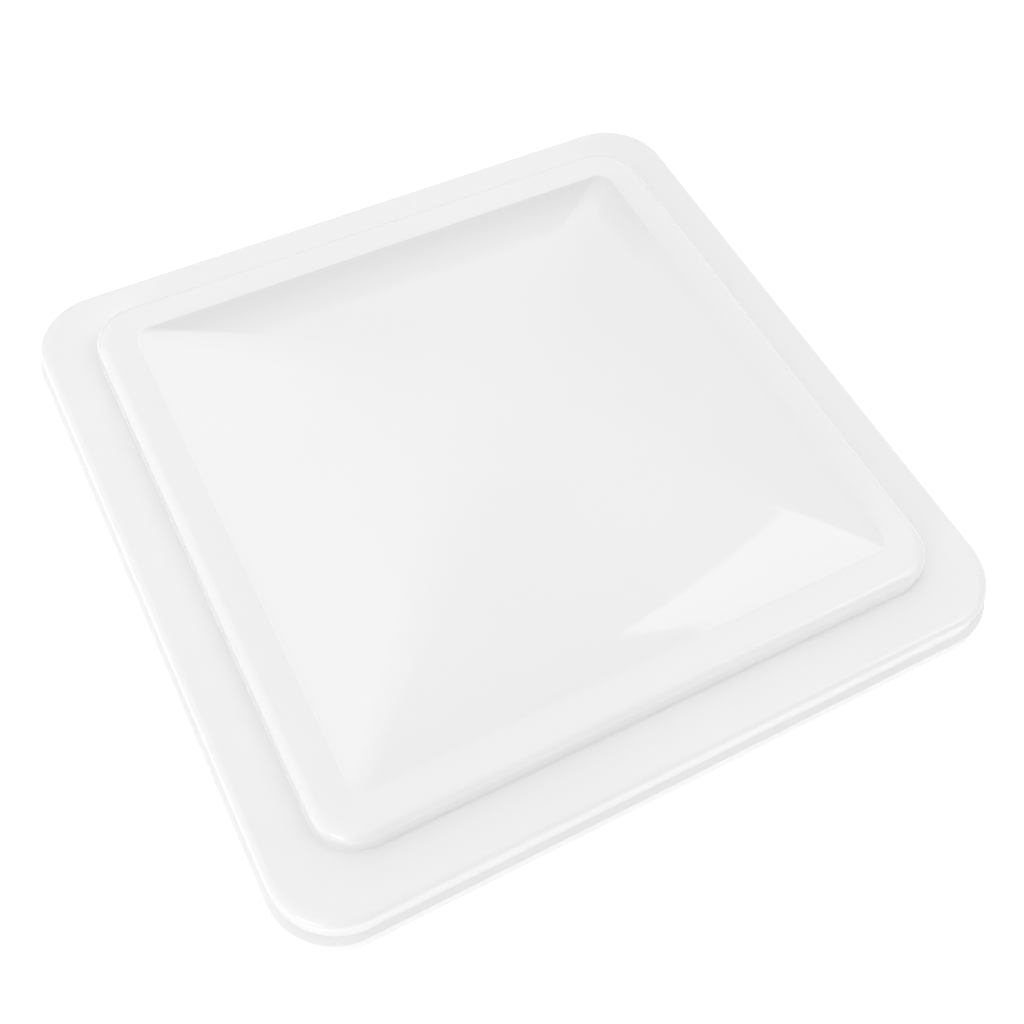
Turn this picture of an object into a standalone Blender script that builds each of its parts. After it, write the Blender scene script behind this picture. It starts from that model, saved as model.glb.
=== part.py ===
"""Square roof vent cover for a caravan or motorhome.

A white moulded lid with a raised ring and a pillow dome, its weather seal, the lift channel with
the slider that a crank arm holds, and the rear hinge that the lid swings on.
Metres, +Z up. The cover stands on its skirt at Z = 0, its hinge at the back (+Y).
"""
import math

import bmesh
import bpy
from mathutils import Matrix, Vector

INCH = 0.0254

# Lid: driving dimensions.
RIM_HALF = 8 * INCH
SKIRT_HEIGHT = 0.027
WALL = 0.0025
RING_RISE = 0.014
DOME_RISE = 0.034
FLARE = 0.0025
RIM_ROUND = 0.0034
STEP_ROUND = 0.0045
FOOT_FILLET = 0.0015
COVE_TOP = 0.0135
COVE_BOTTOM = 0.009
STEP_FOOT_HALF = 0.1744
STEP_TOP_HALF = 0.1738
DOME_HALF = 0.1527

# Plan corner radii.
RIM_CORNER = 0.036
STEP_FOOT_CORNER = 0.026
STEP_TOP_CORNER = 0.023
DOME_CORNER = 0.009
CORNER_STEPS = 8
ARC_STEPS = 3

# Dome: its fall grows as a power of the distance from the centre, and its corners soften inwards.
DOME_POWER = 2.2
CORNER_SOFTENING = 2.2
DOME_LEVELS = (0.93, 0.82, 0.7, 0.57, 0.43, 0.28, 0.13)

# Seal and the rib that holds it.
RIB_THICKNESS = 0.002
LOCATING_RIB_HALF = 0.182
LOCATING_RIB_BOTTOM = 0.017
SEAL_INNER_HALF = 0.184
SEAL_OUTER_HALF = 0.196
SEAL_HEIGHT = 0.008
SEAL_CORNER = 0.030

# Rear hinge.
HINGE_LENGTH = 0.300
KNUCKLES = 7
BARREL_RADIUS = 0.0032
PIN_RADIUS = 0.0015
PIN_HOLE_RADIUS = 0.0016
PIN_HEAD_RADIUS = 0.0026
PIN_HEAD_LENGTH = 0.0012
LEAF_THICKNESS = 0.0015
BASE_LEAF_REACH = 0.0195
LID_LEAF_REACH = 0.0128
BASE_HOLES_X = (-0.105, -0.035, 0.035, 0.105)
BASE_HOLE_REACH = 0.0145
PAD_INNER_HALF = 0.1995
PAD_TOP = 0.0175
RIVETS_X = (-0.124, -0.062, 0.0, 0.062, 0.124)

# Lift channel, its screws and its stops.
BOSS_Y = (-0.060, -0.020, 0.020, 0.060)
BOSS_RADIUS = 0.0055
BOSS_BOTTOM = 0.060
BOSS_HOLE_DEPTH = 0.007
STIFFENER_BOTTOM = 0.0622
STIFFENER_HALF = 0.088
CROSS_RIBS_Y = (-0.040, 0.040)
CHANNEL_LENGTH = 0.170
CHANNEL_HALF_WIDTH = 0.012
CHANNEL_DEPTH = 0.010
CHANNEL_SHEET = 0.0015
SLOT_HALF_WIDTH = 0.005
STOP_LENGTH = 0.008
STOP_PLATE = 0.002

# Slider and arm clip.
SHOE_LENGTH = 0.026
SHOE_THICKNESS = 0.0042
NECK_HALF_WIDTH = 0.004
LUG_HALF_WIDTH = 0.0038
LUG_HALF_LENGTH = 0.007
PIVOT_HEIGHT = 0.0435
PIVOT_PIN_RADIUS = 0.002
PIVOT_HOLE_RADIUS = 0.0021
CLIP_HALF_DEPTH = 0.004
CLIP_SHEET = 0.0015
CLIP_LENGTH = 0.0235
ARM_HOLE_DROP = 0.0165

# Clearances and small fasteners.
GAP = 0.0003
KNUCKLE_GAP = 0.0003
SCREW_RADIUS = 0.002
SCREW_HOLE_RADIUS = 0.0023
SCREW_HEAD_RADIUS = 0.0045
SCREW_HEAD_HEIGHT = 0.0018
SCREW_LENGTH = 0.0075
RIVET_RADIUS = 0.0018
RIVET_HOLE_RADIUS = 0.0021
RIVET_HEAD_RADIUS = 0.004
RIVET_HEAD_HEIGHT = 0.0012
WASHER_RADIUS = 0.0045
WASHER_THICKNESS = 0.001
FINE_STEPS = 16
MERGE = 1e-5

# Places that follow from the sizes above.
SHOULDER_Z = SKIRT_HEIGHT
RING_Z = SHOULDER_Z + RING_RISE
FLANGE_HALF = RIM_HALF + FLARE
PAD_FACE_HALF = FLANGE_HALF + GAP
AXIS_OFFSET = PAD_FACE_HALF + GAP + BARREL_RADIUS
LID_CENTRE_Y = (FLANGE_HALF - AXIS_OFFSET - BARREL_RADIUS) / 2
AXIS_Y = LID_CENTRE_Y + AXIS_OFFSET
AXIS_Z = BARREL_RADIUS
KNUCKLE_LENGTH = HINGE_LENGTH / KNUCKLES
LEAF_HOLE_Z = AXIS_Z + BARREL_RADIUS + (LID_LEAF_REACH - BARREL_RADIUS) / 2
NOTCH_TOP = LEAF_THICKNESS + 2 * GAP
CHANNEL_TOP = BOSS_BOTTOM - GAP
CHANNEL_BOTTOM = CHANNEL_TOP - CHANNEL_DEPTH
SHOE_BOTTOM = CHANNEL_BOTTOM + CHANNEL_SHEET + GAP
SLIDER_Y = LID_CENTRE_Y + CHANNEL_LENGTH / 2 - STOP_LENGTH - SHOE_LENGTH / 2 - GAP

WHITE = ("white_plastic", (0.86, 0.86, 0.87), 0.18, 0.0)
SEAL = ("seal_rubber", (0.06, 0.06, 0.065), 0.85, 0.0)
ALUMINIUM = ("hinge_aluminium", (0.72, 0.73, 0.75), 0.35, 1.0)
STEEL = ("fastener_steel", (0.62, 0.63, 0.65), 0.28, 1.0)
GALVANISED = ("channel_steel", (0.55, 0.57, 0.60), 0.42, 1.0)
NYLON = ("slider_nylon", (0.80, 0.79, 0.74), 0.45, 0.0)


# Scene helpers.

def clear_scene():
    for item in list(bpy.data.objects):
        bpy.data.objects.remove(item, do_unlink=True)


def new_collection(name):
    group = bpy.data.collections.new(name)
    bpy.context.scene.collection.children.link(group)
    return group


def material(spec):
    name, colour, roughness, metallic = spec
    found = bpy.data.materials.get(name)
    if found:
        return found
    made = bpy.data.materials.new(name)
    made.use_nodes = True
    shader = made.node_tree.nodes["Principled BSDF"]
    shader.inputs["Base Color"].default_value = (*colour, 1.0)
    shader.inputs["Roughness"].default_value = roughness
    shader.inputs["Metallic"].default_value = metallic
    return made


def add_object(name, mesh, group):
    item = bpy.data.objects.new(name, mesh)
    group.objects.link(item)
    return item


def finish_part(item, spec, smooth_angle=35.0):
    item.data.materials.append(material(spec))
    item.data.shade_smooth()
    item.data.set_sharp_from_angle(angle=math.radians(smooth_angle))
    return item


def as_tool(item):
    item.hide_render = True
    item.display_type = 'WIRE'
    return item


def combine(item, tool, operation):
    step = item.modifiers.new(f"{operation.lower()}_{tool.name}", 'BOOLEAN')
    step.operation = operation
    step.object = tool
    step.solver = 'EXACT'


# Shape helpers.

def mesh_from(build, name):
    shape = bmesh.new()
    build(shape)
    bmesh.ops.recalc_face_normals(shape, faces=shape.faces)
    mesh = bpy.data.meshes.new(name)
    shape.to_mesh(mesh)
    shape.free()
    return mesh


def box(name, low, high, group):
    size = Vector(high) - Vector(low)
    middle = (Vector(high) + Vector(low)) / 2

    def build(shape):
        place = Matrix.Translation(middle) @ Matrix.Diagonal((*size, 1.0))
        bmesh.ops.create_cube(shape, size=1.0, matrix=place)
    return add_object(name, mesh_from(build, name), group)


def rods(name, centres, radius, length, axis, group, steps=FINE_STEPS):
    """Equal cylinders in one object, each centred on its point, along X, Y or Z."""
    turn = {'X': Matrix.Rotation(math.pi / 2, 4, 'Y'),
            'Y': Matrix.Rotation(math.pi / 2, 4, 'X'),
            'Z': Matrix.Identity(4)}[axis]

    def build(shape):
        for centre in centres:
            bmesh.ops.create_cone(shape, cap_ends=True, segments=steps, radius1=radius,
                                  radius2=radius, depth=length,
                                  matrix=Matrix.Translation(centre) @ turn)
    return add_object(name, mesh_from(build, name), group)


def turned(name, profile, place, group, steps=FINE_STEPS, ring=False):
    """A turned piece: a profile of (radius, height) points, top to bottom, about its own Z."""
    def build(shape):
        points = [shape.verts.new((radius, 0.0, height)) for radius, height in profile]
        pairs = list(zip(points, points[1:]))
        if ring:
            pairs.append((points[-1], points[0]))
        for pair in pairs:
            shape.edges.new(pair)
    item = add_object(name, mesh_from(build, name), group)
    item.matrix_world = place
    screw = item.modifiers.new("turn", 'SCREW')
    screw.axis = 'Z'
    screw.steps = steps
    screw.render_steps = steps
    screw.use_merge_vertices = True
    screw.merge_threshold = MERGE
    return item


def prism(name, outlines, length, place, group):
    """A flat outline, with its holes, drawn in X and Y and extruded along Z about its middle."""
    curve = bpy.data.curves.new(name, 'CURVE')
    curve.dimensions = '2D'
    curve.fill_mode = 'BOTH'
    curve.extrude = length / 2
    for outline in outlines:
        spline = curve.splines.new('POLY')
        spline.points.add(len(outline) - 1)
        for point, (across, up) in zip(spline.points, outline):
            point.co = (across, up, 0.0, 1.0)
        spline.use_cyclic_u = True
    drawn = add_object(name + "_outline", curve, group)
    bpy.context.view_layer.update()
    graph = bpy.context.evaluated_depsgraph_get()
    mesh = bpy.data.meshes.new_from_object(drawn.evaluated_get(graph))
    bpy.data.objects.remove(drawn, do_unlink=True)
    shape = bmesh.new()
    shape.from_mesh(mesh)
    bmesh.ops.remove_doubles(shape, verts=shape.verts, dist=MERGE)
    bmesh.ops.recalc_face_normals(shape, faces=shape.faces)
    shape.to_mesh(mesh)
    shape.free()
    item = add_object(name, mesh, group)
    item.matrix_world = place
    return item


def arc(centre, radius, start, end, steps):
    """Points of an arc, angles in degrees."""
    found = []
    for step in range(steps + 1):
        angle = math.radians(start + (end - start) * step / steps)
        found.append((centre[0] + radius * math.cos(angle), centre[1] + radius * math.sin(angle)))
    return found


def rounded_square(half, corner, height):
    """One level of the lid: a square with rounded corners, counterclockwise from above."""
    points = []
    inset = half - corner
    for quarter, (side_x, side_y) in enumerate(((1, 1), (-1, 1), (-1, -1), (1, -1))):
        centre = (side_x * inset, side_y * inset)
        for across, along in arc(centre, corner, 90 * quarter, 90 * quarter + 90, CORNER_STEPS):
            points.append(Vector((across, along + LID_CENTRE_Y, height)))
    return points


def skin_levels(shape, levels, loop=False):
    """Faces between successive levels that have the same number of points."""
    rows = [[shape.verts.new(point) for point in level] for level in levels]
    pairs = list(zip(rows, rows[1:]))
    if loop:
        pairs.append((rows[-1], rows[0]))
    for lower, upper in pairs:
        for index in range(len(lower)):
            after = (index + 1) % len(lower)
            shape.faces.new((lower[index], lower[after], upper[after], upper[index]))
    return rows


def ring_wall(name, outer_half, inner_half, corner, low, high, group):
    """A closed wall that follows a rounded square."""
    inner_corner = corner - (outer_half - inner_half)
    levels = [rounded_square(outer_half, corner, low), rounded_square(outer_half, corner, high),
              rounded_square(inner_half, inner_corner, high),
              rounded_square(inner_half, inner_corner, low)]

    def build(shape):
        skin_levels(shape, levels, loop=True)
    return add_object(name, mesh_from(build, name), group)


# The lid.

def dome_height(reach):
    """Height of the dome's outer face at this distance from the lid's centre, along X or Y."""
    return RING_Z + DOME_RISE * (1 - (abs(reach) / DOME_HALF) ** DOME_POWER)


def dome_corner(level):
    """Plan corner radius of the dome where it has shrunk to this share of its base."""
    edge_share = DOME_CORNER / DOME_HALF
    return DOME_HALF * level * (edge_share + (1 - edge_share) * (1 - level) ** CORNER_SOFTENING)


def skirt_section():
    """Half-width and height of the skirt's outer face, from its edge up to the shoulder."""
    section = [(FLANGE_HALF, 0.0), (FLANGE_HALF, COVE_BOTTOM - 0.0012)]
    section += [(FLANGE_HALF - 0.0004, COVE_BOTTOM), (RIM_HALF + 0.0008, COVE_TOP - 0.003),
                (RIM_HALF, COVE_TOP)]
    section += arc((RIM_HALF - RIM_ROUND, SHOULDER_Z - RIM_ROUND), RIM_ROUND, 0, 90, ARC_STEPS)
    return section


def step_section():
    """Half-width, height and plan corner of the step, from the shoulder up to the ring."""
    section = []
    for half, height in arc((STEP_FOOT_HALF + FOOT_FILLET, SHOULDER_Z + FOOT_FILLET),
                            FOOT_FILLET, 270, 190, 2):
        section.append((half, height, STEP_FOOT_CORNER))
    for half, height in arc((STEP_TOP_HALF - STEP_ROUND, RING_Z - STEP_ROUND),
                            STEP_ROUND, 10, 90, ARC_STEPS):
        section.append((half, height, STEP_TOP_CORNER))
    return section


def lid_levels():
    levels = [rounded_square(half, RIM_CORNER, height) for half, height in skirt_section()]
    levels += [rounded_square(half, corner, height) for half, height, corner in step_section()]
    levels.append(rounded_square(DOME_HALF, DOME_CORNER, RING_Z))
    for level in DOME_LEVELS:
        levels.append(rounded_square(DOME_HALF * level, dome_corner(level),
                                     dome_height(DOME_HALF * level)))
    return levels


def lid_skin(group):
    """The lid's one wall: its outer face as levels that close at the crown, made thick inwards."""
    shape = bmesh.new()
    rows = skin_levels(shape, lid_levels())
    crown = shape.verts.new((0.0, LID_CENTRE_Y, RING_Z + DOME_RISE))
    last = rows[-1]
    for index, point in enumerate(last):
        shape.faces.new((point, last[(index + 1) % len(last)], crown))
    mesh = bpy.data.meshes.new("lid_shell")
    shape.to_mesh(mesh)
    shape.free()
    item = add_object("lid_shell", mesh, group)
    solid = item.modifiers.new("wall", 'SOLIDIFY')
    solid.thickness = WALL
    solid.offset = -1.0
    solid.use_even_offset = True
    return item


def stiffener(name, across_x, offset_y, tools):
    """A rib under the dome, its top buried in the wall."""
    steps = 12
    top = []
    for step in range(steps + 1):
        reach = STIFFENER_HALF * (1 - 2 * step / steps)
        fall = max(abs(reach), abs(offset_y))
        top.append((reach, dome_height(fall) - WALL / 2))
    outline = [(-STIFFENER_HALF, STIFFENER_BOTTOM), (STIFFENER_HALF, STIFFENER_BOTTOM)] + top
    stand = Matrix.Rotation(math.pi / 2, 4, 'X')
    turn = Matrix.Identity(4) if across_x else Matrix.Rotation(math.pi / 2, 4, 'Z')
    place = Matrix.Translation((0.0, LID_CENTRE_Y + offset_y, 0.0)) @ turn @ stand
    return as_tool(prism(name, [outline], RIB_THICKNESS, place, tools))


def make_lid(group, tools):
    lid = lid_skin(group)
    joined = [as_tool(ring_wall("locating_rib_tool", LOCATING_RIB_HALF,
                                LOCATING_RIB_HALF - RIB_THICKNESS, RIM_CORNER - 0.018,
                                LOCATING_RIB_BOTTOM, SHOULDER_Z - WALL / 2, tools))]
    joined.append(as_tool(box("hinge_pad_tool",
                              (-HINGE_LENGTH / 2, LID_CENTRE_Y + PAD_INNER_HALF, NOTCH_TOP),
                              (HINGE_LENGTH / 2, LID_CENTRE_Y + PAD_FACE_HALF, PAD_TOP), tools)))
    joined.append(stiffener("long_stiffener_tool", False, 0.0, tools))
    for number, offset in enumerate(CROSS_RIBS_Y, 1):
        joined.append(stiffener(f"cross_stiffener_{number}_tool", True, offset, tools))
    for number, offset in enumerate(BOSS_Y, 1):
        top = dome_height(offset) - WALL / 2
        middle = (0.0, LID_CENTRE_Y + offset, (top + BOSS_BOTTOM) / 2)
        joined.append(as_tool(rods(f"boss_{number}_tool", [middle], BOSS_RADIUS,
                                   top - BOSS_BOTTOM, 'Z', tools)))
    for tool in joined:
        combine(lid, tool, 'UNION')

    hole_middles = [(0.0, LID_CENTRE_Y + offset, BOSS_BOTTOM) for offset in BOSS_Y]
    rivet_middles = [(across, LID_CENTRE_Y + PAD_FACE_HALF, LEAF_HOLE_Z) for across in RIVETS_X]
    notch_half = HINGE_LENGTH / 2 + PIN_HEAD_LENGTH + 2 * GAP
    cut = [rods("boss_hole_tool", hole_middles, SCREW_HOLE_RADIUS, 2 * BOSS_HOLE_DEPTH, 'Z', tools),
           rods("rivet_hole_tool", rivet_middles, RIVET_HOLE_RADIUS, 0.030, 'Y', tools),
           box("hinge_notch_tool", (-notch_half, LID_CENTRE_Y + PAD_INNER_HALF - 0.003, -0.005),
               (notch_half, LID_CENTRE_Y + PAD_FACE_HALF + 0.003, NOTCH_TOP), tools)]
    for tool in cut:
        combine(lid, as_tool(tool), 'DIFFERENCE')
    return finish_part(lid, WHITE)


def make_seal(group):
    top = SHOULDER_Z - WALL - GAP
    seal = ring_wall("weather_seal", SEAL_OUTER_HALF, SEAL_INNER_HALF, SEAL_CORNER,
                     top - SEAL_HEIGHT, top, group)
    return finish_part(seal, SEAL)


# The rear hinge.

def leaf_outline(reach):
    """A barrel about the origin with a leaf that runs back along -X, flush with its underside."""
    meet = 180 + math.degrees(math.asin((BARREL_RADIUS - LEAF_THICKNESS) / BARREL_RADIUS))
    barrel = arc((0.0, 0.0), BARREL_RADIUS, -90, meet, FINE_STEPS)
    plate = [(-reach, LEAF_THICKNESS - BARREL_RADIUS), (-reach, -BARREL_RADIUS)]
    hole = arc((0.0, 0.0), PIN_HOLE_RADIUS, 0, 360, FINE_STEPS)[:-1]
    return [barrel + plate, hole]


def knuckle_range(index):
    start = -HINGE_LENGTH / 2 + index * KNUCKLE_LENGTH
    return start, start + KNUCKLE_LENGTH


def knuckle_cutters(name, indices, tools):
    """Boxes that clear the barrel where the other leaf's knuckles turn."""
    reach = BARREL_RADIUS + 2 * GAP
    cutters = []
    for index in indices:
        start, end = knuckle_range(index)
        start -= KNUCKLE_GAP if index > 0 else 0.005
        end += KNUCKLE_GAP if index < KNUCKLES - 1 else 0.005
        cutters.append(as_tool(box(f"{name}_{index}_tool",
                                   (start, AXIS_Y - reach, AXIS_Z - reach),
                                   (end, AXIS_Y + reach, AXIS_Z + reach), tools)))
    return cutters


def make_leaf(name, reach, tilt, cut_knuckles, holes, group, tools):
    # The outline's X runs along +Y and its Y along +Z, and the prism's length along X.
    lay = Matrix(((0, 0, 1, 0), (1, 0, 0, 0), (0, 1, 0, 0), (0, 0, 0, 1)))
    place = Matrix.Translation((0.0, AXIS_Y, AXIS_Z)) @ lay @ Matrix.Rotation(tilt, 4, 'Z')
    leaf = prism(name, leaf_outline(reach), HINGE_LENGTH, place, group)
    for cutter in knuckle_cutters(name, cut_knuckles, tools):
        combine(leaf, cutter, 'DIFFERENCE')
    combine(leaf, as_tool(holes), 'DIFFERENCE')
    return finish_part(leaf, ALUMINIUM)


def make_hinge(group, tools):
    base_holes = rods("base_hole_tool",
                      [(across, AXIS_Y - BASE_HOLE_REACH, 0.0) for across in BASE_HOLES_X],
                      SCREW_HOLE_RADIUS, 0.010, 'Z', tools)
    lid_holes = rods("leaf_hole_tool",
                     [(across, AXIS_Y - BARREL_RADIUS, LEAF_HOLE_Z) for across in RIVETS_X],
                     RIVET_HOLE_RADIUS, 0.010, 'Y', tools)
    make_leaf("hinge_base_leaf", BASE_LEAF_REACH, 0.0, range(0, KNUCKLES, 2), base_holes,
              group, tools)
    make_leaf("hinge_lid_leaf", LID_LEAF_REACH, -math.pi / 2, range(1, KNUCKLES, 2), lid_holes,
              group, tools)
    half = HINGE_LENGTH / 2 + GAP
    end = half + PIN_HEAD_LENGTH
    profile = [(0.0, end), (PIN_HEAD_RADIUS * 0.7, end), (PIN_HEAD_RADIUS, end - 0.0004),
               (PIN_HEAD_RADIUS, half), (PIN_RADIUS, half),
               (PIN_RADIUS, -half), (PIN_HEAD_RADIUS, -half),
               (PIN_HEAD_RADIUS, 0.0004 - end), (PIN_HEAD_RADIUS * 0.7, -end), (0.0, -end)]
    along_x = Matrix.Translation((0.0, AXIS_Y, AXIS_Z)) @ Matrix.Rotation(math.pi / 2, 4, 'Y')
    finish_part(turned("hinge_pin", profile, along_x, group), STEEL)


def make_rivets(group):
    """Blind rivets through the lid's leaf and the hinge pad, each with a backing washer."""
    leaf_face = BARREL_RADIUS - LEAF_THICKNESS
    head_base = AXIS_OFFSET - leaf_face + GAP
    washer_low = PAD_INNER_HALF - GAP - WASHER_THICKNESS
    tail = washer_low - GAP
    profile = [(0.0, head_base + RIVET_HEAD_HEIGHT),
               (RIVET_HEAD_RADIUS * 0.55, head_base + RIVET_HEAD_HEIGHT),
               (RIVET_HEAD_RADIUS, head_base + 0.0003), (RIVET_HEAD_RADIUS, head_base),
               (RIVET_RADIUS, head_base), (RIVET_RADIUS, tail),
               (RIVET_RADIUS * 1.6, tail - 0.0004), (RIVET_RADIUS * 1.5, tail - 0.0016),
               (0.0, tail - 0.0020)]
    washer = [(WASHER_RADIUS, washer_low + WASHER_THICKNESS), (WASHER_RADIUS, washer_low),
              (RIVET_HOLE_RADIUS, washer_low), (RIVET_HOLE_RADIUS, washer_low + WASHER_THICKNESS)]
    for number, across in enumerate(RIVETS_X, 1):
        place = (Matrix.Translation((across, LID_CENTRE_Y, LEAF_HOLE_Z))
                 @ Matrix.Rotation(-math.pi / 2, 4, 'X'))
        finish_part(turned(f"hinge_rivet_{number}", profile, place, group), STEEL)
        finish_part(turned(f"rivet_washer_{number}", washer, place, group, ring=True), STEEL)


# The lift channel and what runs in it.

def channel_outline():
    side = CHANNEL_HALF_WIDTH
    inner = side - CHANNEL_SHEET
    lip_top = CHANNEL_BOTTOM + CHANNEL_SHEET
    web = CHANNEL_TOP - CHANNEL_SHEET
    right = [(SLOT_HALF_WIDTH, lip_top), (SLOT_HALF_WIDTH, CHANNEL_BOTTOM),
             (side, CHANNEL_BOTTOM), (side, CHANNEL_TOP)]
    left = [(-across, up) for across, up in reversed(right)]
    inside = [(-inner, lip_top), (-inner, web), (inner, web), (inner, lip_top)]
    return right + left + inside


def along_y(middle_y):
    """Stands an outline drawn in X and Y up in X and Z, its length along Y."""
    return Matrix.Translation((0.0, middle_y, 0.0)) @ Matrix.Rotation(math.pi / 2, 4, 'X')


def make_channel(group, tools):
    channel = prism("lift_channel", [channel_outline()], CHANNEL_LENGTH, along_y(LID_CENTRE_Y), group)
    holes = rods("channel_hole_tool",
                 [(0.0, LID_CENTRE_Y + offset, CHANNEL_TOP) for offset in BOSS_Y],
                 SCREW_HOLE_RADIUS, 0.006, 'Z', tools)
    combine(channel, as_tool(holes), 'DIFFERENCE')
    finish_part(channel, GALVANISED)

    head_top = CHANNEL_TOP - CHANNEL_SHEET - GAP
    tip = head_top + SCREW_LENGTH
    profile = [(0.0, tip), (SCREW_RADIUS * 0.45, tip - 0.0004), (SCREW_RADIUS, tip - 0.0018),
               (SCREW_RADIUS, head_top), (SCREW_HEAD_RADIUS, head_top),
               (SCREW_HEAD_RADIUS, head_top - 0.0005),
               (SCREW_HEAD_RADIUS * 0.55, head_top - SCREW_HEAD_HEIGHT),
               (0.0, head_top - SCREW_HEAD_HEIGHT)]
    for number, offset in enumerate(BOSS_Y, 1):
        place = Matrix.Translation((0.0, LID_CENTRE_Y + offset, 0.0))
        finish_part(turned(f"channel_screw_{number}", profile, place, group), STEEL)


def make_stops(group, tools):
    """Plugs pushed into both ends of the channel, each with a plate that caps the end."""
    inner = CHANNEL_HALF_WIDTH - CHANNEL_SHEET - GAP
    low = CHANNEL_BOTTOM + CHANNEL_SHEET + GAP
    high = CHANNEL_TOP - CHANNEL_SHEET - GAP
    for name, side in (("front_channel_stop", -1), ("rear_channel_stop", 1)):
        face = side * (CHANNEL_LENGTH / 2 - STOP_LENGTH)
        end = side * (CHANNEL_LENGTH / 2 + GAP)
        cap = side * (CHANNEL_LENGTH / 2 + GAP + STOP_PLATE)
        near, far = sorted((face, cap - side * STOP_PLATE / 2))
        stop = box(name, (-inner, LID_CENTRE_Y + near, low), (inner, LID_CENTRE_Y + far, high), group)
        near, far = sorted((end, cap))
        plate = box(f"{name}_plate_tool",
                    (-CHANNEL_HALF_WIDTH, LID_CENTRE_Y + near, CHANNEL_BOTTOM),
                    (CHANNEL_HALF_WIDTH, LID_CENTRE_Y + far, CHANNEL_TOP), tools)
        combine(stop, as_tool(plate), 'UNION')
        finish_part(stop, NYLON)


def make_slider(group, tools):
    """A shoe that rides on the channel's lips, its neck in the slot and its lug below them."""
    wide = CHANNEL_HALF_WIDTH - CHANNEL_SHEET - GAP
    half = SHOE_LENGTH / 2
    neck_bottom = CHANNEL_BOTTOM - GAP
    lug_bottom = PIVOT_HEIGHT - CLIP_HALF_DEPTH
    shoe = box("slider_shoe", (-wide, SLIDER_Y - half, SHOE_BOTTOM),
               (wide, SLIDER_Y + half, SHOE_BOTTOM + SHOE_THICKNESS), group)
    neck = box("shoe_neck_tool", (-NECK_HALF_WIDTH, SLIDER_Y - half + 0.001, neck_bottom),
               (NECK_HALF_WIDTH, SLIDER_Y + half - 0.001, SHOE_BOTTOM + SHOE_THICKNESS / 2), tools)
    lug = box("shoe_lug_tool", (-LUG_HALF_WIDTH, SLIDER_Y - LUG_HALF_LENGTH, lug_bottom),
              (LUG_HALF_WIDTH, SLIDER_Y + LUG_HALF_LENGTH, SHOE_BOTTOM), tools)
    combine(shoe, as_tool(neck), 'UNION')
    combine(shoe, as_tool(lug), 'UNION')
    hole = rods("shoe_hole_tool", [(0.0, SLIDER_Y, PIVOT_HEIGHT)], PIVOT_HOLE_RADIUS, 0.030, 'X',
                tools)
    combine(shoe, as_tool(hole), 'DIFFERENCE')
    finish_part(shoe, NYLON)


def make_arm_clip(group, tools):
    """A bent fork that hangs from the slider's pin, for the end of a crank arm."""
    inner = NECK_HALF_WIDTH + 0.0004
    outer = inner + CLIP_SHEET
    top = PIVOT_HEIGHT + CLIP_HALF_DEPTH
    bottom = PIVOT_HEIGHT - CLIP_LENGTH
    outline = [(-outer, bottom), (outer, bottom), (outer, top), (inner, top),
               (inner, bottom + CLIP_SHEET), (-inner, bottom + CLIP_SHEET), (-inner, top),
               (-outer, top)]
    clip = prism("arm_clip", [outline], 2 * CLIP_HALF_DEPTH, along_y(SLIDER_Y), group)
    holes = rods("clip_hole_tool", [(0.0, SLIDER_Y, PIVOT_HEIGHT),
                                    (0.0, SLIDER_Y, PIVOT_HEIGHT - ARM_HOLE_DROP)],
                 PIVOT_HOLE_RADIUS, 0.030, 'X', tools)
    combine(clip, as_tool(holes), 'DIFFERENCE')
    finish_part(clip, STEEL)

    along_x = Matrix.Translation((0.0, SLIDER_Y, PIVOT_HEIGHT)) @ Matrix.Rotation(math.pi / 2, 4, 'Y')
    head = outer + GAP
    end = outer + GAP + 0.0018
    pin = [(0.0, end), (PIVOT_PIN_RADIUS * 0.8, end), (PIVOT_PIN_RADIUS, end - 0.0003),
           (PIVOT_PIN_RADIUS, -head), (0.0031, -head), (0.0031, -head - 0.0008),
           (0.0022, -head - 0.0013), (0.0, -head - 0.0013)]
    finish_part(turned("pivot_pin", pin, along_x, group), STEEL)
    clip_ring = [(0.0037, head + 0.0009), (0.0037, head),
                 (PIVOT_HOLE_RADIUS, head), (PIVOT_HOLE_RADIUS, head + 0.0009)]
    finish_part(turned("pin_retainer", clip_ring, along_x, group, ring=True), STEEL)


def main():
    clear_scene()
    group = new_collection("roof_vent_cover")
    tools = new_collection("cutters")
    make_lid(group, tools)
    make_seal(group)
    make_hinge(group, tools)
    make_rivets(group)
    make_channel(group, tools)
    make_stops(group, tools)
    make_slider(group, tools)
    make_arm_clip(group, tools)


main()
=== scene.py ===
"""Roof vent cover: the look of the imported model.

Every CAD node is rebuilt here as a finer piece in the same place, with a procedural material.
Metres, +Z up, the hinge at the back (+Y). Places and outer sizes come from the CAD nodes' boxes.
"""
import math

import bmesh
import bpy
from mathutils import Matrix, Vector


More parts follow.
